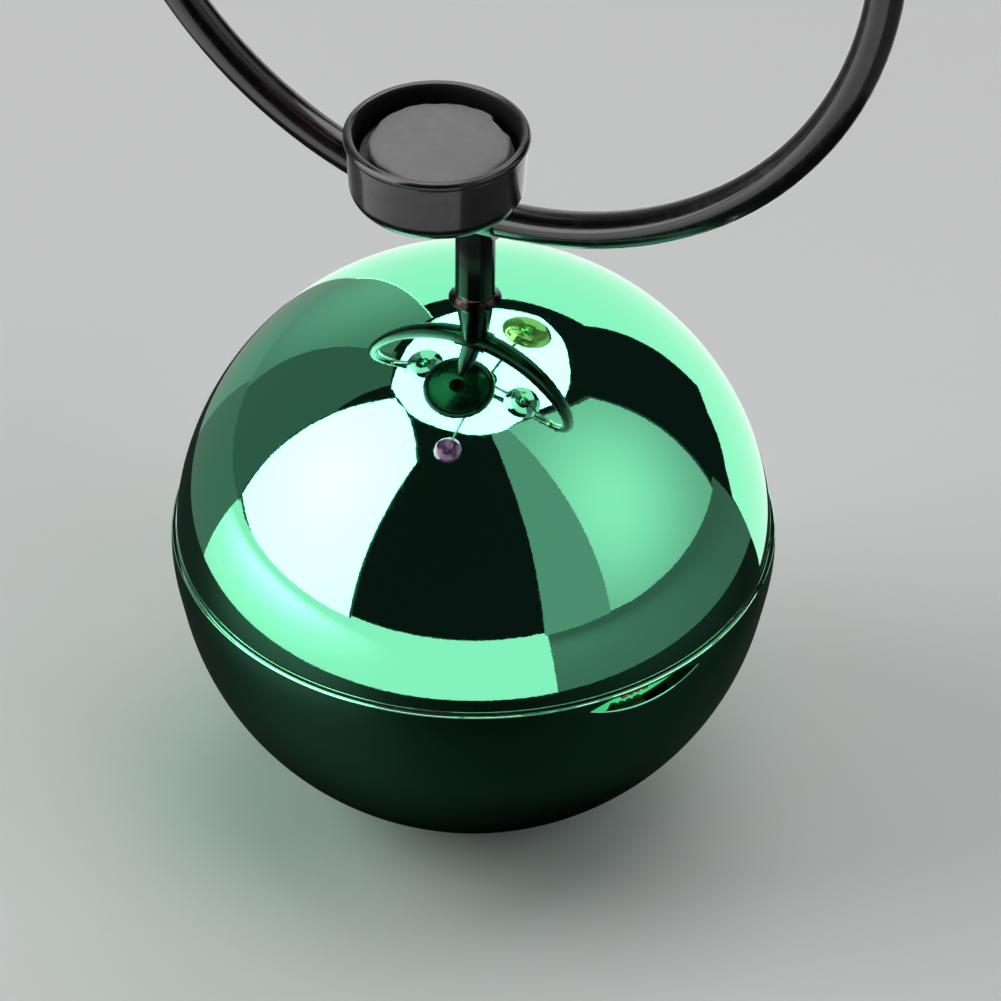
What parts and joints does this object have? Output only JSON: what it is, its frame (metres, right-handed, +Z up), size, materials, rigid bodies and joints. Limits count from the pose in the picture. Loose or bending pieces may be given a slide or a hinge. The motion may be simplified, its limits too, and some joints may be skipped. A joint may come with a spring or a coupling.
{
  "type": "kinetic desk toy",
  "caption": "Battery-driven rocker desk toy: green chrome ball base, stem with a standing ring, coil cup and a swinging rocker with coloured balls.",
  "frame": {"origin": "middle of the foot's underside, on the table", "axes": "+X along the ring's plane and the rocker's axle, -Y the front with the coil cup, +Z up"},
  "size_m": [0.1192, 0.1214, 0.2048],
  "materials": {
    "green_chrome": "green mirror plating",
    "black_rubber": "matte black",
    "steel": "bright steel",
    "ballast_iron": "rough cast",
    "black_plastic": "matte black",
    "cell_sleeve": "printed steel can, plain",
    "board_green": "solder-masked board",
    "chip_black": "moulded",
    "capacitor_blue": "shrink sleeve",
    "ivory_plastic": "moulded",
    "black_lacquer": "gloss black lacquer",
    "dark_collar": "dark plated",
    "copper_wire": "enamelled copper winding",
    "core_iron": "machined soft iron",
    "grey_disc": "mottled grey",
    "lead_red": "sheathed lead",
    "brass": "turned",
    "switch_red": "moulded, dull red",
    "foot_rubber": "matte black",
    "contact_brass": "sprung contact plate",
    "pink_chrome": "pink mirror plating",
    "gold_chrome": "gold mirror plating",
    "silver_chrome": "silver mirror plating",
    "magnet_plated": "nickel-plated magnet"
  },
  "bodies": {
    "base": {"lower_shell": "green_chrome", "upper_shell": "green_chrome", "seam_gasket": "black_rubber", "shell_screws": "steel", "ballast_ring": "ballast_iron", "battery_tube": "black_plastic", "battery_cells": "cell_sleeve", "contact_springs": "steel", "circuit_board": "board_green", "board_screws": "steel", "driver_chip": "chip_black", "capacitor": "capacitor_blue", "transistor": "chip_black", "lead_connector": "ivory_plastic", "switch_housing": "black_plastic", "stem": "black_lacquer", "stem_collar": "dark_collar", "stem_washer": "steel", "stem_nut": "steel", "ring": "black_lacquer", "cup_arm": "black_lacquer", "cup": "black_lacquer", "cup_screw": "steel", "coil_bobbin": "black_plastic", "drive_coil": "copper_wire", "coil_core": "core_iron", "cover_disc": "grey_disc", "coil_lead": "lead_red", "axle_bushes": "brass"},
    "switch": {"switch_slider": "switch_red"},
    "cap": {"battery_cap": "black_plastic", "foot_pad": "foot_rubber", "cap_contact": "contact_brass"},
    "rocker": {"axle": "steel", "axle_caps": "black_rubber", "rocker_hub": "black_plastic", "hub_screw": "steel", "front_arm": "steel", "back_arm": "steel", "pink_ball": "pink_chrome", "gold_ball": "gold_chrome", "silver_balls": "silver_chrome", "magnet_holder": "black_plastic", "rocker_magnet": "magnet_plated"}
  },
  "joints": [
    {"name": "rocker_pivot", "type": "hinge", "parent": "base", "child": "rocker", "pos_m": [0, 0, 0.1482], "axis": [1, 0, 0], "range_deg": [-30, 30]},
    {"name": "switch_slide", "type": "slide", "parent": "base", "child": "switch", "axis": [0.4848, 0.8746, 0], "range_m": [0, 0.0028]},
    {"name": "cap_turn", "type": "hinge", "parent": "base", "child": "cap", "pos_m": [0, 0, 0], "axis": [0, 0, 1], "range_deg": [0, 30]}
  ]
}
